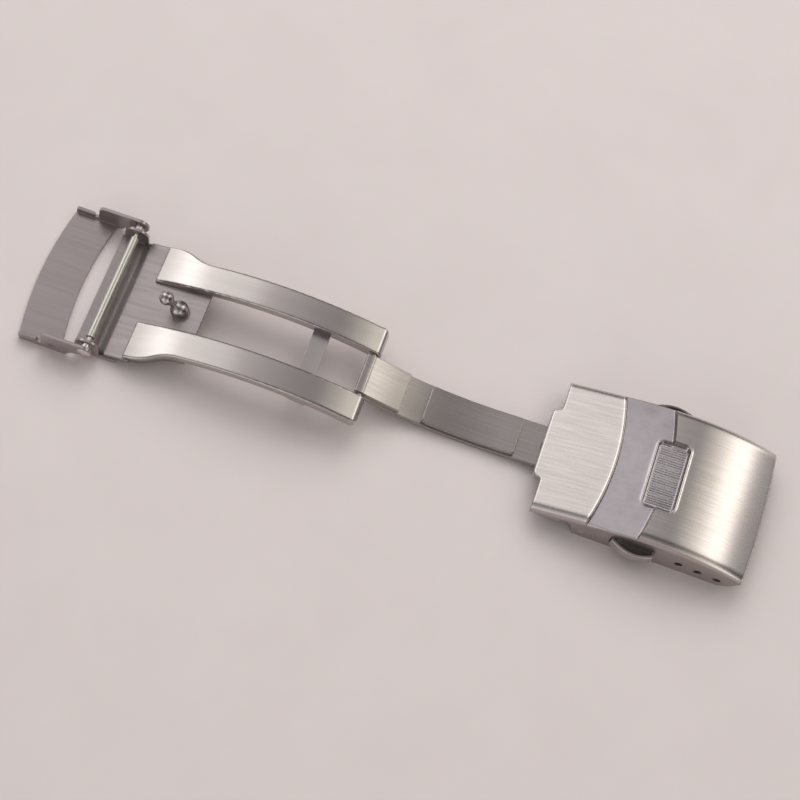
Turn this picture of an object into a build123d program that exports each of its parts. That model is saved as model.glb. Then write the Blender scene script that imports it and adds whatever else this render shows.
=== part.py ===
from build123d import *
import math
import os

os.makedirs("parts", exist_ok=True)

# A watch strap clasp that folds in three: a base with two prongs, a middle link and a cover.
# It is drawn open and lying flat, as it stands on a table, in millimetres.
# x is first measured from the fold pin, y from the middle plane and z from the table.
# frame_shift then centres the whole clasp on x = 0.

# Half widths grow outwards from the strap: ear, cover wall, flap arm.
strap_width = 18.0
ear_thickness = 0.40
cover_gap = 0.10
cover_wall = 0.60
arm_gap = 0.10
arm_thickness = 0.45

# Fits
pin_r = 0.45
pin_clearance = 0.03        # on the radius, between a pin and what turns on it
weld_gap = 0.01             # left between pieces that are joined
overrun = 30.0              # reach of every cut that passes right through

# Hinge axes: their distances from the fold pin, their heights and their turns
link_span = 34.8
hinge_lead = 2.6            # the shut cover's hinge lies this far inside the spring bar
bar_z = 2.90
fold_z = 3.75
cover_z = 1.65
fold_angle = 185.0
cover_tilt = 12.0           # the cover's own turn while the fold shuts
flap_angle = 160.0

# Reach beyond the outer hinges
flap_reach = 10.7
cover_reach = 23.1

ear_inner = strap_width / 2
ear_outer = ear_inner + ear_thickness
cover_inner = ear_outer + cover_gap
cover_half = cover_inner + cover_wall
arm_inner = cover_half + arm_gap
arm_outer = arm_inner + arm_thickness
bore_r = pin_r + pin_clearance
bar_span = link_span + hinge_lead
fold_x = 0
bar_x = fold_x - bar_span
cover_x = fold_x + link_span
flap_tip_x = bar_x - flap_reach
cover_tip_x = cover_x + cover_reach
frame_shift = -(flap_tip_x + cover_tip_x) / 2


def side(y=0):
    """An upright plane at width y that faces the near side."""
    return Plane(origin=(frame_shift, y, 0), x_dir=(1, 0, 0), z_dir=(0, -1, 0))


def plan(z=0):
    """A level plane at height z."""
    return Plane(origin=(frame_shift, 0, z), x_dir=(1, 0, 0), z_dir=(0, 0, 1))


def across(x, z, y=0):
    """An upright plane whose origin is a hinge axis at width y, facing the far side."""
    return Plane(origin=(frame_shift + x, y, z), x_dir=(1, 0, 0), z_dir=(0, 1, 0))


def arc_radius(rise, run):
    """The radius of an arc that rises so much over half a chord of length run."""
    return (rise ** 2 + run ** 2) / (2 * rise)


def dome(x, peak_x, peak_z, radius):
    """The height at x of an arc that is highest at its peak."""
    return peak_z - radius + math.sqrt(radius ** 2 - (x - peak_x) ** 2)


def dish(x, low_x, low_z, radius):
    """The height at x of an arc that is lowest at its low point."""
    return low_z + radius - math.sqrt(radius ** 2 - (x - low_x) ** 2)


def turned(dx, dz, degrees):
    """A vector in x and z, turned so that +x goes towards +z."""
    a = math.radians(degrees)
    return dx * math.cos(a) - dz * math.sin(a), dx * math.sin(a) + dz * math.cos(a)


def between(start, end, share):
    return start + (end - start) * share


# Where the base's parts lie once the clasp is shut, seen from the link and the cover as drawn
shut_dx, shut_dz = turned(cover_x - fold_x, cover_z - fold_z, fold_angle)
shut_cover_x, shut_cover_z = fold_x + shut_dx, fold_z + shut_dz


def seen_from_link(x, z):
    dx, dz = turned(x - fold_x, z - fold_z, -fold_angle)
    return fold_x + dx, fold_z + dz


def seen_from_cover(x, z):
    dx, dz = turned(x - shut_cover_x, z - shut_cover_z, -cover_tilt)
    return cover_x + dx, cover_z + dz


# The end bracket's floor and the base plate that slopes up from it
floor_thickness = 0.48
plate_drop = 0.82           # the plate's thickness, measured plumb
plate_setback = 2.3         # from the spring bar to the plate's left edge
plate_length = 11.0892      # along the clasp, from its left edge to its right one
plate_lap = 0.20            # the plate's half width past the strap's
plate_inset = 0.15          # the plate shows this much less than the prongs above it
plate_half = ear_inner + plate_lap
plate_left_x = bar_x + plate_setback
plate_right_x = plate_left_x + plate_length
plate_left_z = floor_thickness + weld_gap + plate_drop

# The prongs: two curved bars whose lower face starts on the plate
link_half = 3.05
link_gap = 0.30
shoulder_step = 1.60        # how far the wide left end stands out past the prong
shoulder_length = 6.4       # over which it steps in, along two equal arcs
prong_lap = 0.05
prong_end_r = 0.95          # half the height at the fold pin
prong_peak_share = 0.348    # of the way from the fold pin back to the spring bar
prong_peak_z = 6.50
prong_low_share = 0.374
prong_low_z = 4.90          # the lower face at its highest
prong_setback = 2.7         # from the plate's left edge to the prong's
prong_wide_length = 1.0
prong_tip_round = 0.9
prong_edge = 0.22
prong_edge_share = 0.45     # of the wall at the left end, where that is thin

prong_inner = link_half + link_gap
prong_wide = ear_inner + prong_lap
prong_outer = prong_wide - shoulder_step
prong_peak_back = bar_span * prong_peak_share
prong_low_back = bar_span * prong_low_share
prong_peak_x = fold_x - prong_peak_back
prong_low_x = fold_x - prong_low_back
prong_left_x = plate_left_x + prong_setback
shoulder_x = prong_left_x + prong_wide_length
prong_tip_x = fold_x + prong_end_r


def blend_radius(peak_z, back, end_r):
    """The radius of an arc with its peak there that runs smoothly into the round end."""
    rise = peak_z - fold_z
    return (back ** 2 + rise ** 2 - end_r ** 2) / (2 * (rise - end_r))


def blend_point(peak_x, peak_z, radius, end_r):
    """Where that arc meets the round end."""
    dx, dz = fold_x - peak_x, fold_z - peak_z + radius
    return (fold_x + dx * end_r / (radius - end_r), fold_z + dz * end_r / (radius - end_r))


top_r = blend_radius(prong_peak_z, prong_peak_back, prong_end_r)
low_r = blend_radius(prong_low_z, prong_low_back, -prong_end_r)


def prong_top(x):
    return dome(x, prong_peak_x, prong_peak_z, top_r)


def prong_under(x):
    return dome(x, prong_low_x, prong_low_z, low_r)


plate_slope = (prong_under(plate_right_x) - plate_left_z) / (plate_right_x - plate_left_x)
plate_tilt = math.atan(plate_slope)
plate_normal = (-math.sin(plate_tilt), 0, math.cos(plate_tilt))


def plate_top(x):
    return plate_left_z + plate_slope * (x - plate_left_x)


def plate_under(x):
    return plate_top(x) - plate_drop


prong_left_wall = prong_top(prong_left_x) - plate_top(prong_left_x)


def shoulder(sign, inset):
    """The three points of the shoulder's two arcs in plan, drawn in by inset."""
    start = (shoulder_x, sign * (prong_wide - inset))
    end = (shoulder_x + shoulder_length, sign * (prong_outer - inset))
    return start, ((start[0] + end[0]) / 2, (start[1] + end[1]) / 2), end


def draw_shoulder(start, middle, end):
    TangentArc(start, middle, tangent=(1, 0))
    TangentArc(end, middle, tangent=(-1, 0))


def runs_along(edge):
    """Whether an edge runs more along the clasp than across it."""
    tangent = edge.tangent_at(1 / 2)
    return abs(tangent.X) > abs(tangent.Y)


def prong(sign, name):
    with BuildPart() as piece:
        with BuildSketch(side()):
            with BuildLine():
                left_top = (prong_left_x, prong_top(prong_left_x))
                left_low = (prong_left_x, plate_top(prong_left_x))
                bend = (plate_right_x, plate_top(plate_right_x))
                end_top = blend_point(prong_peak_x, prong_peak_z, top_r, prong_end_r)
                end_low = blend_point(prong_low_x, prong_low_z, low_r, -prong_end_r)
                ThreePointArc(left_top, (prong_peak_x, prong_peak_z), end_top)
                ThreePointArc(end_top, (prong_tip_x, fold_z), end_low)
                ThreePointArc(end_low, (prong_low_x, prong_low_z), bend)
                Polyline(bend, left_low, left_top)
            make_face()
        extrude(amount=overrun, both=True)
        with BuildSketch(plan()):
            with BuildLine():
                start, middle, end = shoulder(sign, 0)
                draw_shoulder(start, middle, end)
                Polyline(end, (prong_tip_x, sign * prong_outer),
                         (prong_tip_x, sign * prong_inner), (prong_left_x, sign * prong_inner),
                         (prong_left_x, sign * prong_wide), start)
            make_face()
        extrude(amount=overrun, both=True, mode=Mode.INTERSECT)
        top_face = piece.faces().sort_by(lambda f: f.center().Z)[-1]
        fillet(top_face.edges().filter_by(runs_along),
               radius=min(prong_edge, prong_left_wall * prong_edge_share))
        with BuildSketch(plan()):
            with BuildLine():
                corner_a = (prong_tip_x - prong_tip_round, sign * prong_outer)
                corner_b = (prong_tip_x, sign * (prong_outer - prong_tip_round))
                Line(corner_a, (prong_tip_x, sign * prong_outer))
                Line((prong_tip_x, sign * prong_outer), corner_b)
                RadiusArc(corner_a, corner_b, sign * prong_tip_round)
            make_face()
        extrude(amount=overrun, both=True, mode=Mode.SUBTRACT)
        with BuildSketch(across(fold_x, fold_z)):
            Circle(pin_r)
        extrude(amount=overrun, both=True, mode=Mode.SUBTRACT)
    piece.part.label = name
    return piece


far_prong = prong(1, "far_prong")
export_step(far_prong.part, "parts/far_prong.step")
near_prong = prong(-1, "near_prong")
export_step(near_prong.part, "parts/near_prong.step")

# The catch stud stands on the plate: a large ball, a neck and a smaller ball that lean back
stud_back = 3.1             # from the plate's right edge to the shank's foot
stud_low_back = 0.4         # from the foot to the large ball's centre
stud_low_rise = 0.42        # that centre above the plate
stud_low_r = 1.30
stud_top_r = 1.00
stud_neck_r = 0.50
stud_shank_r = 0.80
stud_length = 2.95          # between the two centres
stud_lean = 39.8

stud_foot_x = plate_right_x - stud_back
stud_low_x = stud_foot_x - stud_low_back
stud_low_z = plate_top(stud_low_x) + stud_low_rise
lean = math.radians(stud_lean)
stud_dir = (-math.sin(lean), 0, math.cos(lean))
stud_top_x = stud_low_x + stud_dir[0] * stud_length
stud_top_z = stud_low_z + stud_dir[2] * stud_length
shank_plane = Plane(origin=(frame_shift + stud_foot_x, 0, plate_top(stud_foot_x)),
                    x_dir=(0, 1, 0), z_dir=plate_normal)

with BuildPart() as base_plate:
    with BuildSketch(side()):
        with BuildLine():
            Polyline((plate_left_x, plate_top(plate_left_x) - weld_gap),
                     (plate_right_x, plate_top(plate_right_x) - weld_gap),
                     (plate_right_x, plate_under(plate_right_x)),
                     (plate_left_x, plate_under(plate_left_x)), close=True)
        make_face()
    extrude(amount=overrun, both=True)
    with BuildSketch(plan()):
        with BuildLine():
            far_start, far_mid, far_end = shoulder(1, plate_inset)
            near_start, near_mid, near_end = shoulder(-1, plate_inset)
            draw_shoulder(far_start, far_mid, far_end)
            draw_shoulder(near_start, near_mid, near_end)
            Polyline(far_end, (plate_right_x, far_end[1]), (plate_right_x, near_end[1]), near_end)
            Polyline(near_start, (shoulder_x, -plate_half), (plate_left_x, -plate_half),
                     (plate_left_x, plate_half), (shoulder_x, plate_half), far_start)
        make_face()
    extrude(amount=overrun, both=True, mode=Mode.INTERSECT)
    with BuildSketch(shank_plane):
        Circle(stud_shank_r)
    extrude(amount=plate_drop * 2, both=True, mode=Mode.SUBTRACT)
base_plate.part.label = "base_plate"
export_step(base_plate.part, "parts/base_plate.step")

with BuildPart() as catch_stud:
    with Locations((frame_shift + stud_low_x, 0, stud_low_z)):
        Sphere(stud_low_r)
    with Locations((frame_shift + stud_top_x, 0, stud_top_z)):
        Sphere(stud_top_r)
    with BuildSketch(Plane(origin=(frame_shift + stud_low_x, 0, stud_low_z), x_dir=(0, 1, 0),
                           z_dir=stud_dir)):
        Circle(stud_neck_r)
    extrude(amount=stud_length)
    # the large ball is cut flat where it sits on the plate
    split(bisect_by=shank_plane, keep=Keep.TOP)
    with BuildSketch(shank_plane):
        Circle(stud_shank_r - weld_gap)
    extrude(amount=-plate_drop * math.cos(plate_tilt))
catch_stud.part.label = "catch_stud"
export_step(catch_stud.part, "parts/catch_stud.step")

# The crossbar ties the prongs together from below
crossbar_back = 9.0
crossbar_length = 2.4
crossbar_thickness = 0.80
crossbar_inset = 0.25
crossbar_left = fold_x - crossbar_back
crossbar_right = crossbar_left + crossbar_length

with BuildPart() as crossbar:
    with BuildSketch(side()):
        with BuildLine():
            xs = (crossbar_left, between(crossbar_left, crossbar_right, 1 / 2), crossbar_right)
            upper = [(x, prong_under(x) - weld_gap) for x in xs]
            lower = [(x, z - crossbar_thickness) for x, z in upper]
            ThreePointArc(*upper)
            Line(upper[2], lower[2])
            ThreePointArc(lower[2], lower[1], lower[0])
            Line(lower[0], upper[0])
        make_face()
    extrude(amount=prong_outer - crossbar_inset, both=True)
crossbar.part.label = "crossbar"
export_step(crossbar.part, "parts/crossbar.step")

# The end bracket: a floor under the plate's left edge, with two ears for the spring bar
floor_reach = 2.2           # from the spring bar to the floor's left edge
floor_lap = 1.8             # how far the floor runs on under the plate
floor_bend = 0.6            # the bend starts this far before the plate
ear_left = 1.8
ear_right = 1.7
ear_above = 0.90
ear_round = 1.4
rivet_r = 0.70

floor_left_x = bar_x - floor_reach
floor_right_x = plate_left_x + floor_lap
floor_right_z = plate_under(floor_right_x) - weld_gap

with BuildPart() as end_bracket:
    with BuildSketch(side()):
        with BuildLine():
            Polyline((floor_left_x, 0), (plate_left_x - floor_bend, 0),
                     (floor_right_x, floor_right_z - floor_thickness),
                     (floor_right_x, floor_right_z), (plate_left_x, floor_thickness),
                     (floor_left_x, floor_thickness), close=True)
        make_face()
    extrude(amount=ear_outer, both=True)
    with BuildSketch(side()) as ear:
        with BuildLine():
            Polyline((bar_x - ear_left, 0), (bar_x + ear_right, 0),
                     (bar_x + ear_right, bar_z + ear_above),
                     (bar_x - ear_left, bar_z + ear_above), close=True)
        make_face()
        fillet(ear.vertices().group_by(Axis.Y)[-1], radius=ear_round)
    extrude(amount=ear_outer, both=True)
    with BuildSketch(side()):
        with BuildLine():
            Polyline((floor_left_x - overrun, floor_thickness), (plate_left_x, floor_thickness),
                     (floor_right_x, floor_right_z), (floor_right_x, overrun),
                     (floor_left_x - overrun, overrun), close=True)
        make_face()
    extrude(amount=ear_inner, both=True, mode=Mode.SUBTRACT)
    with BuildSketch(across(bar_x, bar_z)):
        Circle(rivet_r)
    extrude(amount=overrun, both=True, mode=Mode.SUBTRACT)
end_bracket.part.label = "end_bracket"
export_step(end_bracket.part, "parts/end_bracket.step")

# The pivot rivets carry the flap, and their bores hold the spring bar's tips
rivet_head_r = 1.10
rivet_head = 0.30
rivet_bore_r = 0.42
rivet_bore_deep = 0.95


def rivet(sign, name):
    with BuildPart() as piece:
        seat = arm_outer + weld_gap
        dome_r = arc_radius(rivet_head, rivet_head_r)
        with Locations((frame_shift + bar_x, sign * (seat + rivet_head - dome_r), bar_z)):
            Sphere(dome_r)
        split(bisect_by=across(bar_x, bar_z, sign * seat),
              keep=Keep.TOP if sign > 0 else Keep.BOTTOM)
        with BuildSketch(across(bar_x, bar_z, sign * ear_inner)):
            Circle(rivet_r)
        extrude(amount=sign * (seat - ear_inner))
        with BuildSketch(across(bar_x, bar_z, sign * ear_inner)):
            Circle(rivet_bore_r)
        extrude(amount=sign * rivet_bore_deep, mode=Mode.SUBTRACT)
    piece.part.label = name
    return piece


far_rivet = rivet(1, "far_rivet")
export_step(far_rivet.part, "parts/far_rivet.step")
near_rivet = rivet(-1, "near_rivet")
export_step(near_rivet.part, "parts/near_rivet.step")

# The spring bar: a tube with crimped ends, two tips that push in, and the coil between them
tube_r = 0.60
tube_bore_r = 0.45
tube_lip = 0.20
tube_end_gap = 0.80         # from the tube's end to the ear
tip_r = 0.36
tip_reach = 0.70            # how far a tip stands in the rivet's bore
head_length = 1.0
head_gap = 0.03
coil_wire_r = 0.11
coil_pitch = 0.60

tube_half = ear_inner - tube_end_gap
tip_out = ear_inner + tip_reach
head_r = tube_bore_r - pin_clearance
head_out = tube_half - tube_lip - head_gap
head_in = head_out - head_length

with BuildPart() as bar_tube:
    with BuildSketch(across(bar_x, bar_z)):
        Circle(tube_r)
    extrude(amount=tube_half, both=True)
    with BuildSketch(across(bar_x, bar_z)):
        Circle(tube_bore_r)
    extrude(amount=tube_half - tube_lip, both=True, mode=Mode.SUBTRACT)
    with BuildSketch(across(bar_x, bar_z)):
        Circle(tip_r + pin_clearance)
    extrude(amount=tube_half, both=True, mode=Mode.SUBTRACT)
bar_tube.part.label = "bar_tube"
export_step(bar_tube.part, "parts/bar_tube.step")


def bar_tip(sign, name):
    with BuildPart() as piece:
        with BuildSketch(across(bar_x, bar_z, sign * head_in)):
            Circle(head_r)
        extrude(amount=sign * head_length)
        with BuildSketch(across(bar_x, bar_z, sign * head_out)):
            Circle(tip_r)
        extrude(amount=sign * (tip_out - head_out))
    piece.part.label = name
    return piece


far_bar_tip = bar_tip(1, "far_bar_tip")
export_step(far_bar_tip.part, "parts/far_bar_tip.step")
near_bar_tip = bar_tip(-1, "near_bar_tip")
export_step(near_bar_tip.part, "parts/near_bar_tip.step")


def coil(start_y, length, x, z, radius, wire_r, pitch, name):
    """A round wire wound about an axis along y, from start_y towards the far side."""
    with BuildPart() as piece:
        with BuildLine():
            path = Helix(pitch=pitch, height=length, radius=radius,
                         center=(frame_shift + x, start_y, z), direction=(0, 1, 0))
        with BuildSketch(Plane(origin=path @ 0, z_dir=path % 0)):
            Circle(wire_r)
        sweep(path=path, is_frenet=True)
    piece.part.label = name
    return piece


bar_coil_half = head_in - coil_wire_r * 2 - weld_gap
bar_spring = coil(-bar_coil_half, bar_coil_half * 2, bar_x, bar_z, head_r - coil_wire_r,
                  coil_wire_r, coil_pitch, "bar_spring")
export_step(bar_spring.part, "parts/bar_spring.step")

# The safety flap: a bowed plate with an arm at each side that swings on the rivets
flap_sheet = 0.55
flap_bow = 1.1              # both long edges bow out by this much in the middle
flap_width = 6.1            # from edge to edge, along the clasp
arm_r = 1.30
arm_under_angle = 37.0      # where the arm's underside leaves its round end
dimple_back = 4.7
dimple_z = 1.30
dimple_r = 0.45
dimple_deep = 0.20
# The arm's outline: share of the way from the hinge to the free edge, and of the arm's height
arm_shares = [(0.21, 0.27), (0.29, 0.06), (0.37, 0), (1, 0), (1, 0.33), (0.97, 0.38),
              (0.74, 0.37), (0.71, 0.24), (0.66, 0.24), (0.635, 0.82), (0.585, 0.94)]

flap_free_x = flap_tip_x + flap_bow
flap_inner_tip_x = flap_tip_x + flap_width
flap_inner_x = flap_inner_tip_x + flap_bow
arm_under_dx, arm_under_dz = turned(0, -arm_r, -arm_under_angle)

with BuildPart() as safety_flap:
    with BuildSketch(plan()):
        with BuildLine():
            free_far, free_near = (flap_free_x, arm_outer), (flap_free_x, -arm_outer)
            in_far, in_near = (flap_inner_x, arm_outer), (flap_inner_x, -arm_outer)
            ThreePointArc(free_far, (flap_tip_x, 0), free_near)
            Line(free_near, in_near)
            ThreePointArc(in_near, (flap_inner_tip_x, 0), in_far)
            Line(in_far, free_far)
        make_face()
    extrude(amount=flap_sheet)
    with BuildSketch(side()):
        with BuildLine():
            arm_points = [(between(bar_x, flap_free_x, u), (bar_z + arm_r) * v)
                          for u, v in arm_shares]
            arm_under = (bar_x + arm_under_dx, bar_z + arm_under_dz)
            arm_top = (bar_x, bar_z + arm_r)
            Polyline(arm_under, *arm_points, arm_top)
            ThreePointArc(arm_top, (bar_x + arm_r, bar_z), arm_under)
        make_face()
    extrude(amount=arm_outer, both=True)
    with BuildSketch(plan(flap_sheet)):
        with Locations((bar_x, 0)):
            Rectangle(overrun * 2, arm_inner * 2)
    extrude(amount=overrun, mode=Mode.SUBTRACT)
    with BuildSketch(plan()):
        with BuildLine():
            edge_far, edge_near = (flap_inner_x, arm_inner), (flap_inner_x, -arm_inner)
            ThreePointArc(edge_near, (flap_inner_tip_x, 0), edge_far)
            Polyline(edge_far, (fold_x, arm_inner), (fold_x, -arm_inner), edge_near)
        make_face()
    extrude(amount=flap_sheet, mode=Mode.SUBTRACT)
    with BuildSketch(across(bar_x, bar_z)):
        Circle(rivet_r + pin_clearance)
    extrude(amount=overrun, both=True, mode=Mode.SUBTRACT)
    for sign in (1, -1):
        with BuildSketch(across(bar_x - dimple_back, dimple_z, sign * arm_outer)):
            Circle(dimple_r)
        extrude(amount=-sign * dimple_deep, mode=Mode.SUBTRACT)
safety_flap.part.label = "safety_flap"
export_step(safety_flap.part, "parts/safety_flap.step")

with BuildPart() as fold_pin:
    with BuildSketch(across(fold_x, fold_z)):
        Circle(pin_r)
    extrude(amount=prong_outer, both=True)
fold_pin.part.label = "fold_pin"
export_step(fold_pin.part, "parts/fold_pin.step")

# The middle link: a dished strip with a knuckle at each end, a thick block and a raised panel
strip_thickness = 0.80
strip_low_reach = 16.0      # from the fold pin to the lowest point
strip_low_z = 0.85
strip_above = 0.62          # the strip's upper face above the cover hinge
strip_below = 0.09          # the strip's upper face below the fold pin
block_half = 2.90
block_rise = 0.90
block_reach = 5.80
block_end_r = 0.85
block_end_round = 0.20
panel_half = 2.85
panel_rise = 0.68
panel_from = 9.20
panel_length = 13.5
panel_round = 0.50
link_edge = 0.12
knuckle_r = 0.90
knuckle_gap = 0.70
slot_gap = 0.25
slot_left_gap = 0.12

strip_r = arc_radius(fold_z - strip_below - strip_low_z, strip_low_reach)
strip_low_x = fold_x + strip_low_reach
strip_centre_z = strip_low_z + strip_r

# The strip leaves its arc along the tangent that reaches the cover hinge
away_x = cover_x - strip_low_x
away_z = strip_centre_z - cover_z - strip_above
lift_off = math.atan2(away_x, away_z) - math.acos(strip_r / math.hypot(away_x, away_z))


def arc_end(rise):
    """Where the strip's arc ends, for a face raised from its upper one."""
    reach = strip_r - rise
    return (strip_low_x + reach * math.sin(lift_off),
            strip_centre_z - reach * math.cos(lift_off))


def strip_at(x, rise):
    """The height at x of a face raised from the strip's upper one."""
    end_x, end_z = arc_end(rise)
    if x > end_x:
        return end_z + (x - end_x) * math.tan(lift_off)
    return dish(x, strip_low_x, strip_low_z + rise, strip_r - rise)


def strip_band(left_x, right_x, high_rise):
    """Lines round the strip's side view, from its underside to a height over its upper face."""
    for rise in (high_rise, -strip_thickness):
        turn_x = min(arc_end(rise)[0], right_x)
        mid_x = between(left_x, turn_x, 1 / 2)
        ThreePointArc((left_x, strip_at(left_x, rise)), (mid_x, strip_at(mid_x, rise)),
                      (turn_x, strip_at(turn_x, rise)))
        if turn_x < right_x:
            Line((turn_x, strip_at(turn_x, rise)), (right_x, strip_at(right_x, rise)))
    for x in (left_x, right_x):
        Line((x, strip_at(x, -strip_thickness)), (x, strip_at(x, high_rise)))


block_right_x = fold_x + block_reach
panel_left_x = fold_x + panel_from
panel_right_x = panel_left_x + panel_length
stud_in_link_x = seen_from_link(stud_low_x, stud_low_z)[0]
stud_swing = math.hypot(stud_top_x - fold_x, stud_top_z - fold_z)
slot_left_x = stud_in_link_x - stud_low_r - slot_left_gap
slot_right_x = fold_x + stud_swing + stud_top_r + slot_gap

with BuildPart() as link_panel:
    with BuildSketch(side()):
        with BuildLine():
            strip_band(panel_left_x, panel_right_x, panel_rise)
        make_face()
    extrude(amount=panel_half, both=True)
    with BuildSketch(plan()):
        with Locations((between(panel_left_x, panel_right_x, 1 / 2), 0)):
            RectangleRounded(panel_length, panel_half * 2, panel_round)
    extrude(amount=overrun, both=True, mode=Mode.INTERSECT)
    fillet(link_panel.faces().sort_by(lambda f: f.center().Z)[-1].edges(), radius=link_edge)

with BuildPart() as middle_link:
    with BuildSketch(side()):
        with BuildLine():
            strip_band(fold_x, cover_x, 0)
        make_face()
    extrude(amount=link_half, both=True)
    with BuildSketch(side()):
        with BuildLine():
            strip_band(fold_x, block_right_x, block_rise)
        make_face()
    extrude(amount=block_half, both=True)
    with BuildSketch(side()) as block_end:
        with BuildLine():
            end_left_x, end_top_z = fold_x - block_end_r, strip_at(fold_x, block_rise)
            Polyline((fold_x, fold_z), (fold_x, end_top_z), (end_left_x, end_top_z),
                     (end_left_x, fold_z), close=True)
        make_face()
        fillet(block_end.vertices().sort_by(Axis.X)[:2].sort_by(Axis.Y)[-1],
               radius=block_end_round)
        with Locations((fold_x, fold_z)):
            Circle(block_end_r)
    extrude(amount=block_half, both=True)
    add(link_panel.part)
    with BuildSketch(across(cover_x, cover_z)):
        Circle(knuckle_r)
    extrude(amount=cover_inner - knuckle_gap, both=True)
    with BuildSketch(plan(-overrun)):
        with Locations((between(slot_left_x, slot_right_x, 1 / 2), 0)):
            SlotOverall(slot_right_x - slot_left_x, (stud_low_r + slot_gap) * 2)
    extrude(amount=overrun * 2, mode=Mode.SUBTRACT)
    for x, z in ((fold_x, fold_z), (cover_x, cover_z)):
        with BuildSketch(across(x, z)):
            Circle(bore_r)
        extrude(amount=overrun, both=True, mode=Mode.SUBTRACT)
middle_link.part.label = "middle_link"
export_step(middle_link.part, "parts/middle_link.step")

# The cover's upper face: a straight slope, a crest and a long fall to the right
cover_slope = 13.5
slope_reach = 1.6           # the slope ends this far right of the cover hinge
peak_reach = 10.2
peak_z = 6.75
end_z = 3.51                # the upper face at the right end
shell_sheet = 0.65
cover_left_reach = 7.6
tongue_length = 1.2
tongue_half = 4.95
tongue_flare = 0.45
cover_bow = 0.5             # the right edge bows out by this much in the middle
edge_round = 1.20

slope_x = cover_x + slope_reach
peak_x = cover_x + peak_reach
cover_left_x = cover_x - cover_left_reach
tongue_x = cover_left_x - tongue_length
slope_r = (peak_x - slope_x) / math.sin(math.radians(cover_slope))
slope_z = peak_z - slope_r * (1 - math.cos(math.radians(cover_slope)))
far_x = cover_tip_x + cover_bow
fall_r = arc_radius(peak_z - end_z, far_x - peak_x)


def slope_at(x, under=0):
    """The height of the straight slope at x, or of a face under it."""
    return slope_z - (slope_x - x) * math.tan(math.radians(cover_slope)) - under


def crest_at(x):
    return dome(x, peak_x, peak_z, slope_r)


def fall_at(x, under=0):
    """The height of the right-hand fall at x, or of a face under it."""
    return dome(x, peak_x, peak_z - under, fall_r - under)


# The band between the two curved lines is sunk, so that the shut flap lies flush in it
band_gap = 0.08
first_line_gap = 0.35
second_line_gap = 0.50
line_bow = 1.4
pivot_x, pivot_z = seen_from_cover(bar_x, bar_z)
shut_slope = math.radians(180 - flap_angle - cover_tilt)
flap_face = bar_z - flap_sheet


def shut_flap_x(x):
    """Where a place on the flap's inner face comes to lie along the cover."""
    return pivot_x + (bar_x - x) * math.cos(shut_slope) - flap_face * math.sin(shut_slope)


def band_at(x):
    """The floor of the band, just under the shut flap's inner face."""
    face_z = pivot_z + flap_face / math.cos(shut_slope)
    return face_z + (x - pivot_x) * math.tan(shut_slope) - band_gap


first_tip_x = shut_flap_x(flap_inner_tip_x) - first_line_gap
first_end_x = first_tip_x - line_bow
second_end_x = shut_flap_x(flap_free_x) + second_line_gap
second_tip_x = second_end_x + line_bow

with BuildPart() as band_cutter:
    with BuildSketch(side()):
        with BuildLine():
            lo, hi = first_end_x - line_bow, second_tip_x + line_bow
            Polyline((lo, band_at(lo)), (hi, band_at(hi)), (hi, overrun), (lo, overrun),
                     close=True)
        make_face()
    extrude(amount=arm_outer, both=True)
    with BuildSketch(plan()):
        with BuildLine():
            first_far, first_near = (first_end_x, cover_half), (first_end_x, -cover_half)
            second_far, second_near = (second_end_x, cover_half), (second_end_x, -cover_half)
            ThreePointArc(first_far, (first_tip_x, 0), first_near)
            Polyline(first_near, (first_end_x, -arm_outer), (second_end_x, -arm_outer),
                     second_near)
            ThreePointArc(second_near, (second_tip_x, 0), second_far)
            Polyline(second_far, (second_end_x, arm_outer), (first_end_x, arm_outer), first_far)
        make_face()
    extrude(amount=overrun, mode=Mode.INTERSECT)

# The ribbed thumb pad is sunk a little deeper, across the second line
pad_reach = 6.2
pad_length = 4.5
pad_half = 4.95
pad_round = 0.8
pad_under_band = 0.33
pad_under_peak = 0.95
rib_count = 24
rib_pitch = 0.36
rib_height = 0.14
rib_margin = 0.5

pad_left_x = cover_x + pad_reach
pad_right_x = pad_left_x + pad_length
pad_left_z = band_at(pad_left_x) - pad_under_band
pad_right_z = peak_z - pad_under_peak
pad_slope = (pad_right_z - pad_left_z) / pad_length


def pad_at(x):
    return pad_left_z + pad_slope * (x - pad_left_x)


with BuildPart() as pad_cutter:
    with BuildSketch(side()):
        with BuildLine():
            lo, hi = pad_left_x - pad_round, pad_right_x + pad_round
            Polyline((lo, pad_at(lo)), (hi, pad_at(hi)), (hi, overrun), (lo, overrun),
                     close=True)
        make_face()
    extrude(amount=pad_half, both=True)
    with BuildSketch(plan()):
        with Locations((between(pad_left_x, pad_right_x, 1 / 2), 0)):
            RectangleRounded(pad_length, pad_half * 2, pad_round)
    extrude(amount=overrun, mode=Mode.INTERSECT)

with BuildPart() as pad_ribs:
    rib_x = pad_left_x + rib_margin
    with BuildSketch(Plane(origin=(frame_shift + rib_x, 0, pad_at(rib_x)), x_dir=(0, 1, 0),
                           z_dir=(1, 0, pad_slope))):
        with BuildLine():
            start = -rib_count * rib_pitch / 2
            ridges = [(start, -rib_height)]
            for i in range(rib_count):
                ridges.append((start + i * rib_pitch, 0))
                ridges.append((start + (i + 1 / 2) * rib_pitch, rib_height))
            ridges.append((-start, 0))
            ridges.append((-start, -rib_height))
            Polyline(*ridges, close=True)
        make_face()
    extrude(amount=pad_length - rib_margin * 2)

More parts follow.
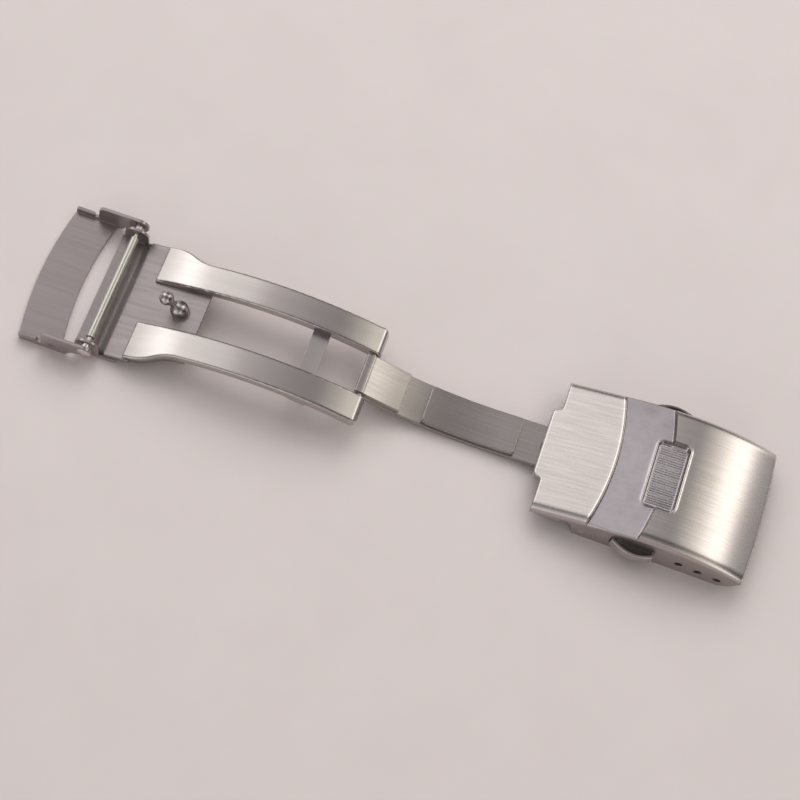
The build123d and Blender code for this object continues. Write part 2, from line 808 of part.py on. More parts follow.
# The side walls, their openings and the sheet under the band
nose_z = 3.10
nose_setback = 0.6
nose_bow = 0.55
wall_back = 19.8
wall_front = 0.9
wall_left_z = 2.55
lobe_z = 1.95
lobe_length = 1.4
notch_gap = 0.25
notch_lip_z = 1.2
band_sheet = 0.53
pad_sheet = 0.58
roof_step = 0.6             # the roof steps down this far left of the hinge
button_reach = 4.1
button_length = 6.1
button_low_z = 1.70
button_top_z = 3.80
button_gap = 0.08
hole_r = 0.60
hole_count = 3              # for the second spring bar, in a row that falls to the right
hole_reach = 13.9
hole_z = 2.45
hole_pitch = 2.85
hole_step = 0.40

notch_r = rivet_r + notch_gap
roof_left_x = cover_x - roof_step
roof_right_x = pad_right_x + roof_step
button_left_x = cover_x + button_reach
button_right_x = button_left_x + button_length


def is_rim(edge):
    """Whether an edge is one of the cover's two long upper ones, which the light catches."""
    middle = edge.position_at(1 / 2)
    return (abs(abs(middle.Y) - cover_half) < weld_gap and middle.Z > button_top_z
            and edge.length > shell_sheet * 2)


with BuildPart() as cover_shell:
    with BuildSketch(side()):
        with BuildLine():
            start_x = tongue_x - tongue_length
            crest_x = between(slope_x, peak_x, 1 / 2)
            fall_x = between(peak_x, far_x, 1 / 2)
            nose = (cover_tip_x - nose_setback, nose_z)
            Line((start_x, slope_at(start_x)), (slope_x, slope_z))
            ThreePointArc((slope_x, slope_z), (crest_x, crest_at(crest_x)), (peak_x, peak_z))
            ThreePointArc((peak_x, peak_z), (fall_x, fall_at(fall_x)), (far_x, fall_at(far_x)))
            Polyline((far_x, fall_at(far_x)), (far_x, fall_at(far_x, shell_sheet)), nose)
            SagittaArc(nose, (cover_x + wall_back, 0), nose_bow)
            Polyline((cover_x + wall_back, 0), (cover_x - wall_front, 0),
                     (pivot_x + notch_r, notch_lip_z), (pivot_x + notch_r, pivot_z))
            ThreePointArc((pivot_x + notch_r, pivot_z), (pivot_x, pivot_z + notch_r),
                          (pivot_x - notch_r, pivot_z))
            Polyline((pivot_x - notch_r, pivot_z), (pivot_x - notch_r, lobe_z),
                     (pivot_x - notch_r - lobe_length, lobe_z), (cover_left_x, wall_left_z),
                     (start_x, slope_at(start_x, shell_sheet)), (start_x, slope_at(start_x)))
        make_face()
    extrude(amount=cover_half, both=True)
    fillet(cover_shell.edges().filter_by(is_rim), radius=edge_round)
    with BuildSketch(plan()):
        with BuildLine():
            end_x = cover_tip_x - cover_bow
            ThreePointArc((end_x, cover_half), (cover_tip_x, 0), (end_x, -cover_half))
            Polyline((end_x, -cover_half), (cover_left_x, -cover_half),
                     (cover_left_x, -tongue_half - tongue_flare), (tongue_x, -tongue_half),
                     (tongue_x, tongue_half), (cover_left_x, tongue_half + tongue_flare),
                     (cover_left_x, cover_half), (end_x, cover_half))
        make_face()
    extrude(amount=overrun, both=True, mode=Mode.INTERSECT)
    add(band_cutter.part, mode=Mode.SUBTRACT)
    add(pad_cutter.part, mode=Mode.SUBTRACT)
    with BuildSketch(side()):
        with BuildLine():
            inside_x = between(roof_right_x, far_x, 1 / 2)
            Polyline((far_x, fall_at(far_x, shell_sheet)), (far_x, -shell_sheet),
                     (start_x, -shell_sheet), (start_x, slope_at(start_x, shell_sheet)),
                     (roof_left_x, slope_at(roof_left_x, shell_sheet)),
                     (roof_left_x, band_at(roof_left_x) - band_sheet),
                     (roof_right_x, pad_right_z - pad_sheet),
                     (roof_right_x, fall_at(roof_right_x, shell_sheet)))
            ThreePointArc((roof_right_x, fall_at(roof_right_x, shell_sheet)),
                          (inside_x, fall_at(inside_x, shell_sheet)),
                          (far_x, fall_at(far_x, shell_sheet)))
        make_face()
    extrude(amount=cover_inner, both=True, mode=Mode.SUBTRACT)
    add(pad_ribs.part)
    with BuildSketch(side()):
        with Locations((between(button_left_x, button_right_x, 1 / 2),
                        between(button_low_z, button_top_z, 1 / 2))):
            Rectangle(button_length + button_gap * 2,
                      button_top_z - button_low_z + button_gap * 2)
        for i in range(hole_count):
            with Locations((cover_x + hole_reach + i * hole_pitch, hole_z - i * hole_step)):
                Circle(hole_r)
        with Locations((cover_x, cover_z)):
            Circle(pin_r)
    extrude(amount=overrun, both=True, mode=Mode.SUBTRACT)
cover_shell.part.label = "cover_shell"
export_step(cover_shell.part, "parts/cover_shell.step")

with BuildPart() as cover_pin:
    with BuildSketch(across(cover_x, cover_z)):
        Circle(pin_r)
    extrude(amount=cover_half, both=True)
cover_pin.part.label = "cover_pin"
export_step(cover_pin.part, "parts/cover_pin.step")

# The neck of the stud, seen from the cover when shut, is what the claws close on
low_x, low_z = seen_from_cover(stud_low_x, stud_low_z)
top_x, top_z = seen_from_cover(stud_top_x, stud_top_z)
neck_dx, neck_dz = (top_x - low_x) / stud_length, (top_z - low_z) / stud_length
neck_along = between(stud_low_r, stud_length - stud_top_r, 1 / 2)
neck_x, neck_z = low_x + neck_dx * neck_along, low_z + neck_dz * neck_along

# Push buttons and their claws: each claw reaches past the stud and grips its far side
push_travel = 0.80
button_bulge = 1.5          # the button's middle stands out this far from the cover's wall
button_left_bulge = 0.4
button_right_bulge = 0.9
button_edge = 0.10
button_sheet = 0.32
flange_lap = 0.30           # the flange's inner face lies this far inside the ears
flange_left = 0.8
flange_right = 0.4
flange_low_z = 1.98
flange_top_z = 4.10
claw_sheet = 0.50
claw_rise = 0.06            # the claw's underside above the neck
arm_width = 1.1
arm_inset = 1.0             # the far arm stands this far left of its button
hook_in = 1.45
hook_out = 2.40
hook_lap = 0.90             # the hook's end past the neck
tooth_in = 0.62
tooth_half = 0.70
tooth_sheet = 0.35
tooth_root = 0.25

flange_in = ear_inner - flange_lap
flange_out = cover_inner - cover_gap
claw_low_z = neck_z + claw_rise


def button(sign, name):
    with BuildPart() as piece:
        with BuildSketch(plan(button_low_z)):
            with BuildLine():
                left_edge = (button_left_x, sign * (cover_half + button_left_bulge))
                right_edge = (button_right_x, sign * (cover_half + button_right_bulge))
                crest = (between(button_left_x, button_right_x, 1 / 2),
                         sign * (cover_half + button_bulge))
                ThreePointArc(left_edge, crest, right_edge)
                Polyline(right_edge, (button_right_x, sign * flange_out),
                         (button_left_x, sign * flange_out), left_edge)
            make_face()
        extrude(amount=button_top_z - button_low_z)
        outer = piece.faces().sort_by(lambda f: sign * f.center().Y)[-1]
        fillet(outer.edges(), radius=button_edge)
        with BuildSketch(plan(flange_low_z)):
            with Locations((between(button_left_x - flange_left,
                                    button_right_x + flange_right, 1 / 2),
                            sign * between(flange_in, flange_out, 1 / 2))):
                Rectangle(button_length + flange_left + flange_right, flange_out - flange_in)
        extrude(amount=flange_top_z - flange_low_z)
        # the button is a cup that is open at the top
        with BuildSketch(plan(button_low_z + button_sheet)):
            with BuildLine():
                cup_half = cover_half - button_sheet
                left_in = (button_left_x + button_sheet, sign * (cup_half + button_left_bulge))
                right_in = (button_right_x - button_sheet, sign * (cup_half + button_right_bulge))
                crest_in = (crest[0], sign * (cup_half + button_bulge))
                ThreePointArc(left_in, crest_in, right_in)
                Polyline(right_in, (right_in[0], sign * (flange_out + button_sheet)),
                         (left_in[0], sign * (flange_out + button_sheet)), left_in)
            make_face()
        extrude(amount=button_top_z - button_low_z, mode=Mode.SUBTRACT)
    piece.part.label = name
    return piece


def claw(sign, name):
    if sign < 0:
        arm_left = button_right_x - arm_width
        hook_left, hook_right = neck_x - hook_lap, button_right_x
    else:
        arm_left = button_left_x - arm_inset
        hook_left, hook_right = arm_left, neck_x + hook_lap
    with BuildPart() as piece:
        with BuildSketch(plan(claw_low_z)):
            root, end = sign * (flange_in - weld_gap), -sign * hook_out
            with Locations((arm_left + arm_width / 2, between(root, end, 1 / 2))):
                Rectangle(arm_width, abs(end - root))
            with Locations((between(hook_left, hook_right, 1 / 2),
                            -sign * between(hook_in, hook_out, 1 / 2))):
                Rectangle(hook_right - hook_left, hook_out - hook_in)
        extrude(amount=claw_sheet)
        # the tooth is a thin blade square to the stud
        with BuildSketch(side(-sign * tooth_in)):
            with BuildLine():
                half_x, half_z = neck_dz * tooth_half, -neck_dx * tooth_half
                side_x, side_z = neck_dx * tooth_sheet / 2, neck_dz * tooth_sheet / 2
                Polyline((neck_x + half_x + side_x, neck_z + half_z + side_z),
                         (neck_x + half_x - side_x, neck_z + half_z - side_z),
                         (neck_x - half_x - side_x, neck_z - half_z - side_z),
                         (neck_x - half_x + side_x, neck_z - half_z + side_z), close=True)
            make_face()
        extrude(amount=sign * (hook_in - tooth_in + tooth_root))
    piece.part.label = name
    return piece


far_button = button(1, "far_button")
export_step(far_button.part, "parts/far_button.step")
near_button = button(-1, "near_button")
export_step(near_button.part, "parts/near_button.step")
far_claw = claw(1, "far_claw")
export_step(far_claw.part, "parts/far_claw.step")
near_claw = claw(-1, "near_claw")
export_step(near_claw.part, "parts/near_claw.step")

# The catch tray hangs from the roof on two walls, guides the claws and seats their springs
tray_sheet = 0.25
tray_wall = 0.40
tray_under_claw = 0.10
tray_left_gap = 0.30        # between the tray's wall and the far claw's arm
tray_right_gap = 0.60
tray_edge_gap = 0.50        # between the tray and a pushed button
tray_hole_margin = 0.90
seat_half = 1.0
seat_back = 2.3             # from the button's left edge to the spring's axis
seat_out = 5.6
seat_sheet = 0.6
seat_top_gap = 0.35
push_coil_r = 0.50
push_wire_r = 0.12
push_pitch = 0.70
push_lift = 0.15            # the spring's lowest turn above the tray

shelf_z = claw_low_z - tray_under_claw
tray_low_z = shelf_z - tray_sheet
tray_left_x = button_left_x - arm_inset - tray_left_gap - tray_wall
tray_right_x = button_right_x + tray_right_gap + tray_wall
tray_half = flange_in - push_travel - tray_edge_gap
push_x = button_left_x + seat_back
push_z = shelf_z + push_lift + push_coil_r + push_wire_r
seat_top_z = push_z + push_coil_r + push_wire_r + seat_top_gap


def roof_at(x):
    share = (x - roof_left_x) / (roof_right_x - roof_left_x)
    return between(band_at(roof_left_x) - band_sheet, pad_right_z - pad_sheet, share) - weld_gap


with BuildPart() as catch_tray:
    with BuildSketch(side()):
        with BuildLine():
            left_in, right_in = tray_left_x + tray_wall, tray_right_x - tray_wall
            Polyline((tray_left_x, tray_low_z), (tray_right_x, tray_low_z),
                     (tray_right_x, roof_at(tray_right_x)), (right_in, roof_at(right_in)),
                     (right_in, shelf_z), (left_in, shelf_z), (left_in, roof_at(left_in)),
                     (tray_left_x, roof_at(tray_left_x)), close=True)
        make_face()
    extrude(amount=tray_half, both=True)
    with BuildSketch(plan(tray_low_z - tray_sheet)):
        hole_left = top_x - stud_top_r - tray_hole_margin
        hole_right = low_x + stud_low_r + tray_hole_margin
        with Locations((between(hole_left, hole_right, 1 / 2), 0)):
            RectangleRounded(hole_right - hole_left,
                             (hook_in + tooth_root + tray_hole_margin) * 2, tray_hole_margin)
    extrude(amount=tray_sheet * 3, mode=Mode.SUBTRACT)
    with BuildSketch(plan(tray_low_z)):
        for sign in (1, -1):
            with Locations((push_x, sign * (seat_out - seat_sheet / 2))):
                Rectangle(seat_half * 2, seat_sheet)
    extrude(amount=seat_top_z - tray_low_z)
catch_tray.part.label = "catch_tray"
export_step(catch_tray.part, "parts/catch_tray.step")

push_start = seat_out + push_wire_r + weld_gap
push_length = flange_in - seat_out - (push_wire_r + weld_gap) * 2
far_spring = coil(push_start, push_length, push_x, push_z, push_coil_r, push_wire_r,
                  push_pitch, "far_spring")
export_step(far_spring.part, "parts/far_spring.step")
near_spring = coil(-push_start - push_length, push_length, push_x, push_z, push_coil_r,
                   push_wire_r, push_pitch, "near_spring")
export_step(near_spring.part, "parts/near_spring.step")

print("frame shift", round(frame_shift, 3))
print("shut cover hinge", round(shut_cover_x, 3), round(shut_cover_z, 3))
print("pivot seen from cover", round(pivot_x, 3), round(pivot_z, 3))
print("neck seen from cover", round(neck_x, 3), round(neck_z, 3))
print("tray underside", round(tray_low_z, 3), "claw underside", round(claw_low_z, 3))
print("cover turns back", round((fold_angle - cover_tilt) / fold_angle, 6), "of the fold")
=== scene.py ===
# %% [markdown]
# # A folding watch clasp, dressed for its picture
# The solids of this clasp come from a CAD model, packed as a fixed frame. This lesson gives them
# their steel, adds the surfaces that a solid model draws too crisply, and sets up the table, the
# light and the camera.

import math

import bpy
import numpy as np
from mathutils import Matrix


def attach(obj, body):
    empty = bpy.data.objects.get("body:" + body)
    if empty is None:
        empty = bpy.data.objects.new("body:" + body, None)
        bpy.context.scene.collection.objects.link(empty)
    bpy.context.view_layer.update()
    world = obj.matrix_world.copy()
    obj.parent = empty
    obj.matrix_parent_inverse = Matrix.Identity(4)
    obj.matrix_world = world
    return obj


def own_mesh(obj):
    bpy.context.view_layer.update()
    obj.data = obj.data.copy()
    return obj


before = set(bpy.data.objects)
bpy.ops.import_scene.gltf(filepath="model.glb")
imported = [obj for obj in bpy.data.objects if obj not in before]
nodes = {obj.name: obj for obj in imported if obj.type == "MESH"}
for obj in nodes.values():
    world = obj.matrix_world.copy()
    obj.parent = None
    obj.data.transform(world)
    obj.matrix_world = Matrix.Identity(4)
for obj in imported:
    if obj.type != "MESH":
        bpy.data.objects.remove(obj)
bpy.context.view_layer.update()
MM = 0.001

# %% [markdown]
# ## The camera
# The photograph was taken from above and a little in front, with the clasp lying slantwise. Its
# place and turn were found by matching the corners of the clasp, so they are given here as three
# directions and a point. A Blender camera looks along its own -Z, with +Y up and +X to the right.

# %% The camera
camera_place = np.array([0.005682, -0.099437, 0.233220])
camera_right = np.array([0.94081, 0.31885, 0.11495])
camera_up = np.array([-0.33832, 0.86302, 0.37514])
camera_forward = np.array([-0.02041, 0.39182, -0.91981])
photo_width_px, focal_px = 800, 1812.6
sensor_mm = 36
nearest_m = 0.01

camera_data = bpy.data.cameras.new("photo_camera")
camera_data.sensor_width = sensor_mm
camera_data.lens = focal_px / photo_width_px * sensor_mm
camera_data.clip_start = nearest_m
camera = bpy.data.objects.new("photo_camera", camera_data)
turn = np.eye(4)
turn[:3, 0], turn[:3, 1], turn[:3, 2] = camera_right, camera_up, -camera_forward
turn[:3, 3] = camera_place
camera.matrix_world = Matrix(turn.tolist())
bpy.context.scene.collection.objects.link(camera)
bpy.context.scene.camera = camera
print(f"lens {camera_data.lens:.1f} mm, {np.linalg.norm(camera_place) / MM:.0f} mm from the table's middle")

# %% [markdown]
# ## Helpers for node materials
# A material is a small graph. These helpers add a node with its settings, make a noise whose grains
# are stretched, and move a value to another range, so that the finish below reads as its layers.

# %% Helpers for node materials
noise_roughness = 0.6


def add_node(tree, kind, inputs=(), **settings):
    """A node of that kind, with its settings, and with values for its inputs by name or place."""
    made = tree.nodes.new(kind)
    for name, value in settings.items():
        setattr(made, name, value)
    for name, value in dict(inputs).items():
        made.inputs[name].default_value = value
    return made


def stretched_noise(tree, size_mm, detail, seed_mm):
    """Noise on Object coordinates whose grains are size_mm = (x, y, z) long, in millimetres."""
    place = add_node(tree, "ShaderNodeTexCoord")
    mapping = add_node(tree, "ShaderNodeMapping",
                       {"Scale": [1 / (MM * s) for s in size_mm], "Location": (seed_mm, seed_mm, 0)})
    noise = add_node(tree, "ShaderNodeTexNoise",
                     {"Scale": 1, "Detail": detail, "Roughness": noise_roughness})
    tree.links.new(place.outputs["Object"], mapping.inputs["Vector"])
    tree.links.new(mapping.outputs["Vector"], noise.inputs["Vector"])
    return noise.outputs["Fac"]


def spread(tree, value, low, high, from_low=0.3, from_high=0.7):
    """A value between from_low and from_high, moved to lie between low and high."""
    node = add_node(tree, "ShaderNodeMapRange", {"From Min": from_low, "From Max": from_high,
                                                 "To Min": low, "To Max": high})
    tree.links.new(value, node.inputs["Value"])
    return node.outputs["Result"]


# %% [markdown]
# ## Brushed stainless steel
# Most of the clasp is stainless steel, rubbed lengthwise with a fine belt. The belt leaves
# hair-thin scratches along the clasp, which spread the light across it. Three layers show that:
# long thin noise as bump, the same noise in the roughness, and a stretched highlight from the
# shader's anisotropy, whose tangent lies across the belt's direction and turns with the piece.
# Edges that the belt has rounded come from a Bevel node, which softens the normal there. Where that
# normal has turned away from the face's own, the steel is smoother, and its colour is painted darker
# or brighter than the face's by a share that each finish sets: painted shade along the edge where
# that share is below 1, and a painted highlight where it is above 1.

# %% A recipe for rubbed steel
fine_seed_mm, broad_seed_mm = 0.37, 5.1
broad_share = 9
edge_facing, face_facing = 0.70, 0.93
grain_roughness_shares = (0.85, 1.15)
edge_roughness_share = 0.7
scratch_depth_mm = 0.02
fine_detail, broad_detail = 3, 2
edge_samples = 8


def rubbed_steel(name, colour, roughness, grain_mm, bump, anisotropy,
                 edge_mm=0.10, tint=0.06, edge_shade=1.15):
    """Steel with a belt's grain along x: grain_mm is the size of its scratches in x, y and z.
    edge_shade is the painted light on its rounded edges, against the colour of its faces: painted
    shade below 1, and a painted highlight above 1."""
    material = bpy.data.materials.new(name)
    material.use_nodes = True
    tree = material.node_tree
    shader = tree.nodes["Principled BSDF"]
    shader.inputs["Metallic"].default_value = 1
    shader.inputs["Anisotropic"].default_value = anisotropy
    fine = stretched_noise(tree, grain_mm, fine_detail, fine_seed_mm)
    broad = stretched_noise(tree, [s * broad_share for s in grain_mm], broad_detail, broad_seed_mm)

    across = add_node(tree, "ShaderNodeCombineXYZ", {"Y": 1})
    turned = add_node(tree, "ShaderNodeVectorTransform", vector_type="VECTOR",
                      convert_from="OBJECT", convert_to="WORLD")
    tree.links.new(across.outputs["Vector"], turned.inputs["Vector"])
    tree.links.new(turned.outputs["Vector"], shader.inputs["Tangent"])

    rounded = add_node(tree, "ShaderNodeBevel", {"Radius": edge_mm * MM}, samples=edge_samples)
    flat = add_node(tree, "ShaderNodeNewGeometry")
    facing = add_node(tree, "ShaderNodeVectorMath", operation="DOT_PRODUCT")
    tree.links.new(rounded.outputs["Normal"], facing.inputs[0])
    tree.links.new(flat.outputs["Normal"], facing.inputs[1])
    edge = spread(tree, facing.outputs["Value"], 1, 0, edge_facing, face_facing)

    rough_grain = spread(tree, fine, *[roughness * share for share in grain_roughness_shares])
    rough = add_node(tree, "ShaderNodeMix", {"B": roughness * edge_roughness_share}, data_type="FLOAT")
    tree.links.new(edge, rough.inputs["Factor"])
    tree.links.new(rough_grain, rough.inputs["A"])
    tree.links.new(rough.outputs["Result"], shader.inputs["Roughness"])

    shade = add_node(tree, "ShaderNodeMix", data_type="RGBA")
    shade.inputs["A"].default_value = (*[c * (1 - tint) for c in colour], 1)
    shade.inputs["B"].default_value = (*[min(1, c * (1 + tint)) for c in colour], 1)
    both = add_node(tree, "ShaderNodeMath", operation="ADD")
    half = add_node(tree, "ShaderNodeMath", {1: 0.5}, operation="MULTIPLY")
    tree.links.new(fine, both.inputs[0])
    tree.links.new(broad, both.inputs[1])
    tree.links.new(both.outputs["Value"], half.inputs[0])
    tree.links.new(spread(tree, half.outputs["Value"], 0, 1), shade.inputs["Factor"])
    # Painted light on the rounded edges: the colour times edge_shade, mixed in by the edge factor.
    painted_edge_light = add_node(tree, "ShaderNodeMix", data_type="RGBA")
    painted_edge_light.inputs["B"].default_value = (*[min(1, c * edge_shade) for c in colour], 1)
    tree.links.new(edge, painted_edge_light.inputs["Factor"])
    tree.links.new(shade.outputs["Result"], painted_edge_light.inputs["A"])
    tree.links.new(painted_edge_light.outputs["Result"], shader.inputs["Base Color"])

    relief = add_node(tree, "ShaderNodeBump", {"Strength": bump, "Distance": scratch_depth_mm * MM})
    tree.links.new(fine, relief.inputs["Height"])
    tree.links.new(rounded.outputs["Normal"], relief.inputs["Normal"])
    tree.links.new(relief.outputs["Normal"], shader.inputs["Normal"])
    return material


# The edge_shade of each finish paints its rounded edges: below 1 as painted shade, above 1 as a painted
# highlight.
satin = rubbed_steel("satin_belt_steel", (0.74, 0.685, 0.665), 0.27, (30, 0.30, 1.5), 0.07, 0.80,
                     tint=0.03, edge_shade=0.55)
prong_steel = rubbed_steel("bright_belt_steel", (0.59, 0.55, 0.53), 0.24, (30, 0.30, 1.5), 0.10, 0.80,
                           edge_mm=0.30, tint=0.09, edge_shade=0.45)
link_steel = rubbed_steel("satin_link_steel", (0.51, 0.47, 0.45), 0.29, (30, 0.30, 1.5), 0.06, 0.75,
                          tint=0.05, edge_shade=0.55)
pressed = rubbed_steel("pressed_band_steel", (0.73, 0.68, 0.715), 0.34, (2.2, 1.8, 1.8), 0.12, 0.5,
                       tint=0.28, edge_shade=0.8)
# A near-white colour for the ribbed pad: painted highlight.
pale = rubbed_steel("pressed_pad_painted_highlight", (0.98, 0.93, 0.96), 0.50, (20, 4, 4), 0.02, 0.3, tint=0.03,
                    edge_shade=1.0)
strip_steel = rubbed_steel("strip_steel", (0.62, 0.58, 0.58), 0.36, (20, 4, 4), 0.03, 0.3, tint=0.04)
# A dark colour for the creases where the sheet steps down: painted shade.
crease_painted_shade = rubbed_steel("pressed_crease_painted_shade", (0.30, 0.26, 0.25), 0.42, (3, 1, 1), 0.10, 0.2, tint=0.04)
# Duller steel: the own finish of the flap, the bracket and the tray, and a darker colour as painted shade
# on the cover's walls, its long rims and between the pad's ribs.
dull_and_painted_shade = rubbed_steel("dull_inner_steel_and_painted_shade", (0.48, 0.43, 0.425), 0.36, (20, 0.30, 1.5), 0.08, 0.5, tint=0.04)
plate_steel = rubbed_steel("rough_plate_steel", (0.37, 0.33, 0.33), 0.38, (20, 0.30, 1.5), 0.08, 0.5,
                           tint=0.05, edge_shade=1.3)
# A dark colour for the rolled bend: painted shade.
rolled = rubbed_steel("rolled_bend_painted_shade", (0.36, 0.33, 0.325), 0.55, (3, 3, 3), 0.05, 0, tint=0.04)
turned_bar = rubbed_steel("turned_bar_steel", (0.62, 0.60, 0.55), 0.34, (0.5, 6, 0.5), 0.1, 0, tint=0.04)
bright = rubbed_steel("polished_stud_steel", (0.62, 0.575, 0.57), 0.28, (0.6, 0.6, 0.6), 0.05, 0, tint=0.02)
wire = rubbed_steel("spring_wire_steel", (0.50, 0.49, 0.48), 0.22, (0.4, 0.1, 0.1), 0.1, 0,
                    edge_mm=0.03, tint=0.03)
print(len(bpy.data.materials), "materials so far")

# %% [markdown]
# ## Each solid gets its finish
# The record names a slot for each solid: satin plates, brighter prongs and buttons, polished pins
# and stud, and springs of wire. A few solids look unlike the rest of their slot in the photograph,
# and these are named one by one: those that lie in shade get a darker colour, which is painted
# shade, and others were left as pressed.

# %% Give the solids their finish
finish_of_slot = {"satin_steel": satin, "polished_steel": prong_steel,
                  "bright_steel": bright, "spring_steel": wire}
finish_of_solid = {"middle_link": link_steel, "base_plate": plate_steel, "bar_tube": turned_bar,
                   "safety_flap": dull_and_painted_shade, "end_bracket": dull_and_painted_shade, "crossbar": strip_steel, "catch_tray": dull_and_painted_shade,
                   "cover_shell": dull_and_painted_shade}
for name, solid in sorted(nodes.items()):
    for s in solid.material_slots:
        slot = s.material.name.split(".")[0]
        s.material = finish_of_solid.get(name, finish_of_slot.get(slot, satin))
    print(name, "->", solid.material_slots[0].material.name, len(solid.data.polygons), "faces")

# %% [markdown]
# ## The springs
# Each push button leans on a coil spring, and a third spring holds the bar's two tips apart. Each
# spring gets a mesh of its own; the joint, seat and travel listed for it are not used here.

# %% Give the springs meshes of their own
push_travel, tip_travel = 0.8, 1.1
push_seat_y, bar_seat_y = 5.6, 6.7
spring_seats = {"far_spring": ("far_push", push_seat_y, push_travel),
                "near_spring": ("near_push", -push_seat_y, push_travel),
                "bar_spring": ("near_tip_slide", bar_seat_y, tip_travel)}
for name, (joint, seat_y, travel) in spring_seats.items():
    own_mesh(nodes[name])

# %% [markdown]
# ## The pressed top of the cover
# The cover is pressed from sheet, so its bends are soft: a sunk band between two curved lines,
# and a ribbed pad for the thumb. The solid draws these as sharp steps. Here the top is a height
# z(x, y) worked out on a grid and laid a hair above the solid, so that each bend gets its radius.
# The grid follows the cover's outline, and its lines crowd together where the bends are.

# %% The cover's sizes, in millimetres from the fold pin
frame_shift = -4.9
slope_end = (36.4, math.radians(13.5))
crest = (45.0, 6.75)
right_x, right_bow, right_z = 57.9, 0.5, 3.51
half_width, rim_round = 10.1, 1.2
left_x, tongue_x, tongue_half, tongue_flare = 27.2, 26.0, 4.95, 0.45
line_bow = 1.4
first_line_x, second_line_x = 36.203, 43.405
band_place, band_slope = (40.0, 5.641), math.tan(math.radians(8))
pad_x, pad_half, pad_round = (41.0, 45.5), 4.95, 0.8
pad_left_z, pad_slope = 5.451, 0.0775
rib_count, rib_pitch, rib_height, rib_margin = 24, 0.36, 0.14, 0.5
rib_lead, rib_run, rib_side, rib_lift = 0.12, 0.10, 0.02, 0.016
lip_height = 0.05
line_lip_off, line_lip_width, line_lip_stop = 0.16, 0.13, 0.2
pad_lip_off, pad_lip_width = 0.14, 0.12
bend = 0.30
hair = 0.012


def smooth_step(t):
    """0 below 0, 1 above 1, and 3t^2 - 2t^3 between them."""
    t = np.clip(t, 0, 1)
    return t * t * (3 - 2 * t)


def main_height(x):
    """The straight slope, then an arc up to the crest, then a wide arc that falls to the right end."""
    crest_r = (crest[0] - slope_end[0]) / math.sin(slope_end[1])
    fall_run, fall = right_x + right_bow - crest[0], crest[1] - right_z
    fall_r = (fall_run ** 2 + fall ** 2) / (2 * fall)
    slope_z = crest[1] - crest_r * (1 - math.cos(slope_end[1]))
    slope = slope_z - (slope_end[0] - x) * math.tan(slope_end[1])
    rise = crest[1] - crest_r + np.sqrt(np.maximum(crest_r ** 2 - (x - crest[0]) ** 2, 0))
    drop = crest[1] - fall_r + np.sqrt(np.maximum(fall_r ** 2 - (x - crest[0]) ** 2, 0))
    return np.where(x < slope_end[0], slope, np.where(x < crest[0], rise, drop))


print("main height at the ends", np.round(main_height(np.array([tongue_x, crest[0], right_x])), 3))

# %% [markdown]
# The height is built in layers. The main face is rounded at its two long rims by a quarter circle.
# Between the two bowed lines it is pressed down to the band, and the bend lies wholly inside the
# band, so that the skin never dips into the solid. A thin lip stands along the first line and round
# the pad, where the press has pushed the metal up. The pad's ribs are a wave across the clasp.


# %% The top's height
def line_at(tip_x, y):
    """A bowed line across the cover: its tip at the middle, and line_bow less at each rim."""
    return tip_x - line_bow * (y / half_width) ** 2


def pad_depth(x, y):
    """How far a point lies inside the pad's outline, a rectangle with round corners; below 0 outside."""
    middle, half = sum(pad_x) / 2, (pad_x[1] - pad_x[0]) / 2
    dx = np.abs(x - middle) - half + pad_round
    dy = np.abs(y) - pad_half + pad_round
    outside = np.hypot(np.maximum(dx, 0), np.maximum(dy, 0))
    return pad_round - outside - np.minimum(np.maximum(dx, dy), 0)


def ridge(distance, width, height):
    """A small bump of that height along the line where distance is 0."""
    return height * np.exp(-(distance / width) ** 2)


def rib_swing(y):
    """A cosine with one turn for each rib: 1 in the gaps and -1 on the ribs' tops."""
    return np.cos(2 * math.pi * (y + rib_count * rib_pitch / 2) / rib_pitch)


def top_height(x, y):
    """The main face less its rim's quarter circle, then the band, the lips, the pad and its ribs."""
    over = np.clip(np.abs(y) - half_width + rim_round, 0, rim_round)
    z = main_height(x) - rim_round + np.sqrt(rim_round ** 2 - over ** 2)
    left, right = x - line_at(first_line_x, y), line_at(second_line_x, y) - x
    z = z + (ridge(left + line_lip_off, line_lip_width, lip_height)
             * (np.abs(y) < half_width - line_lip_stop))
    in_band = smooth_step(left / bend) * smooth_step(right / bend)
    band = band_place[1] + band_slope * (x - band_place[0])
    z = z + (np.minimum(z, band) - z) * in_band
    depth = pad_depth(x, y)
    z = z + ridge(depth + pad_lip_off, pad_lip_width, lip_height)
    wave = (1 - rib_swing(y)) / 2
    ribbed = (smooth_step((x - pad_x[0] - rib_margin + rib_lead) / rib_run)
              * smooth_step((pad_x[1] - rib_margin + rib_lead - x) / rib_run)
              * smooth_step((rib_count * rib_pitch / 2 + rib_side - np.abs(y)) / rib_side))
    pad = pad_left_z + pad_slope * (x - pad_x[0]) + (rib_height * wave + rib_lift) * ribbed
    return z + (np.minimum(z, pad) - z) * smooth_step(depth / bend)


trial_count = 4000


def crowded(low, high, count, busy, dense):
    """count places from low to high, dense times closer together inside the (from, to) spans of busy."""
    fine = np.linspace(low, high, trial_count)
    weight = np.ones_like(fine)
    for start, end in busy:
        weight += (dense - 1) * ((fine > start) & (fine < end))
    total = np.concatenate([[0], np.cumsum((weight[1:] + weight[:-1]) / 2)])
    return np.interp(np.linspace(0, total[-1], count), total, fine)


print("top at the middle of band and pad", np.round(top_height(np.array([38.0, 43.0]), np.zeros(2)), 3))

# %% [markdown]
# A helper turns any grid of points into a mesh: the faces join each point to its neighbours, and
# foreach_set writes them all at once. The same helper serves the other surfaces of this lesson.


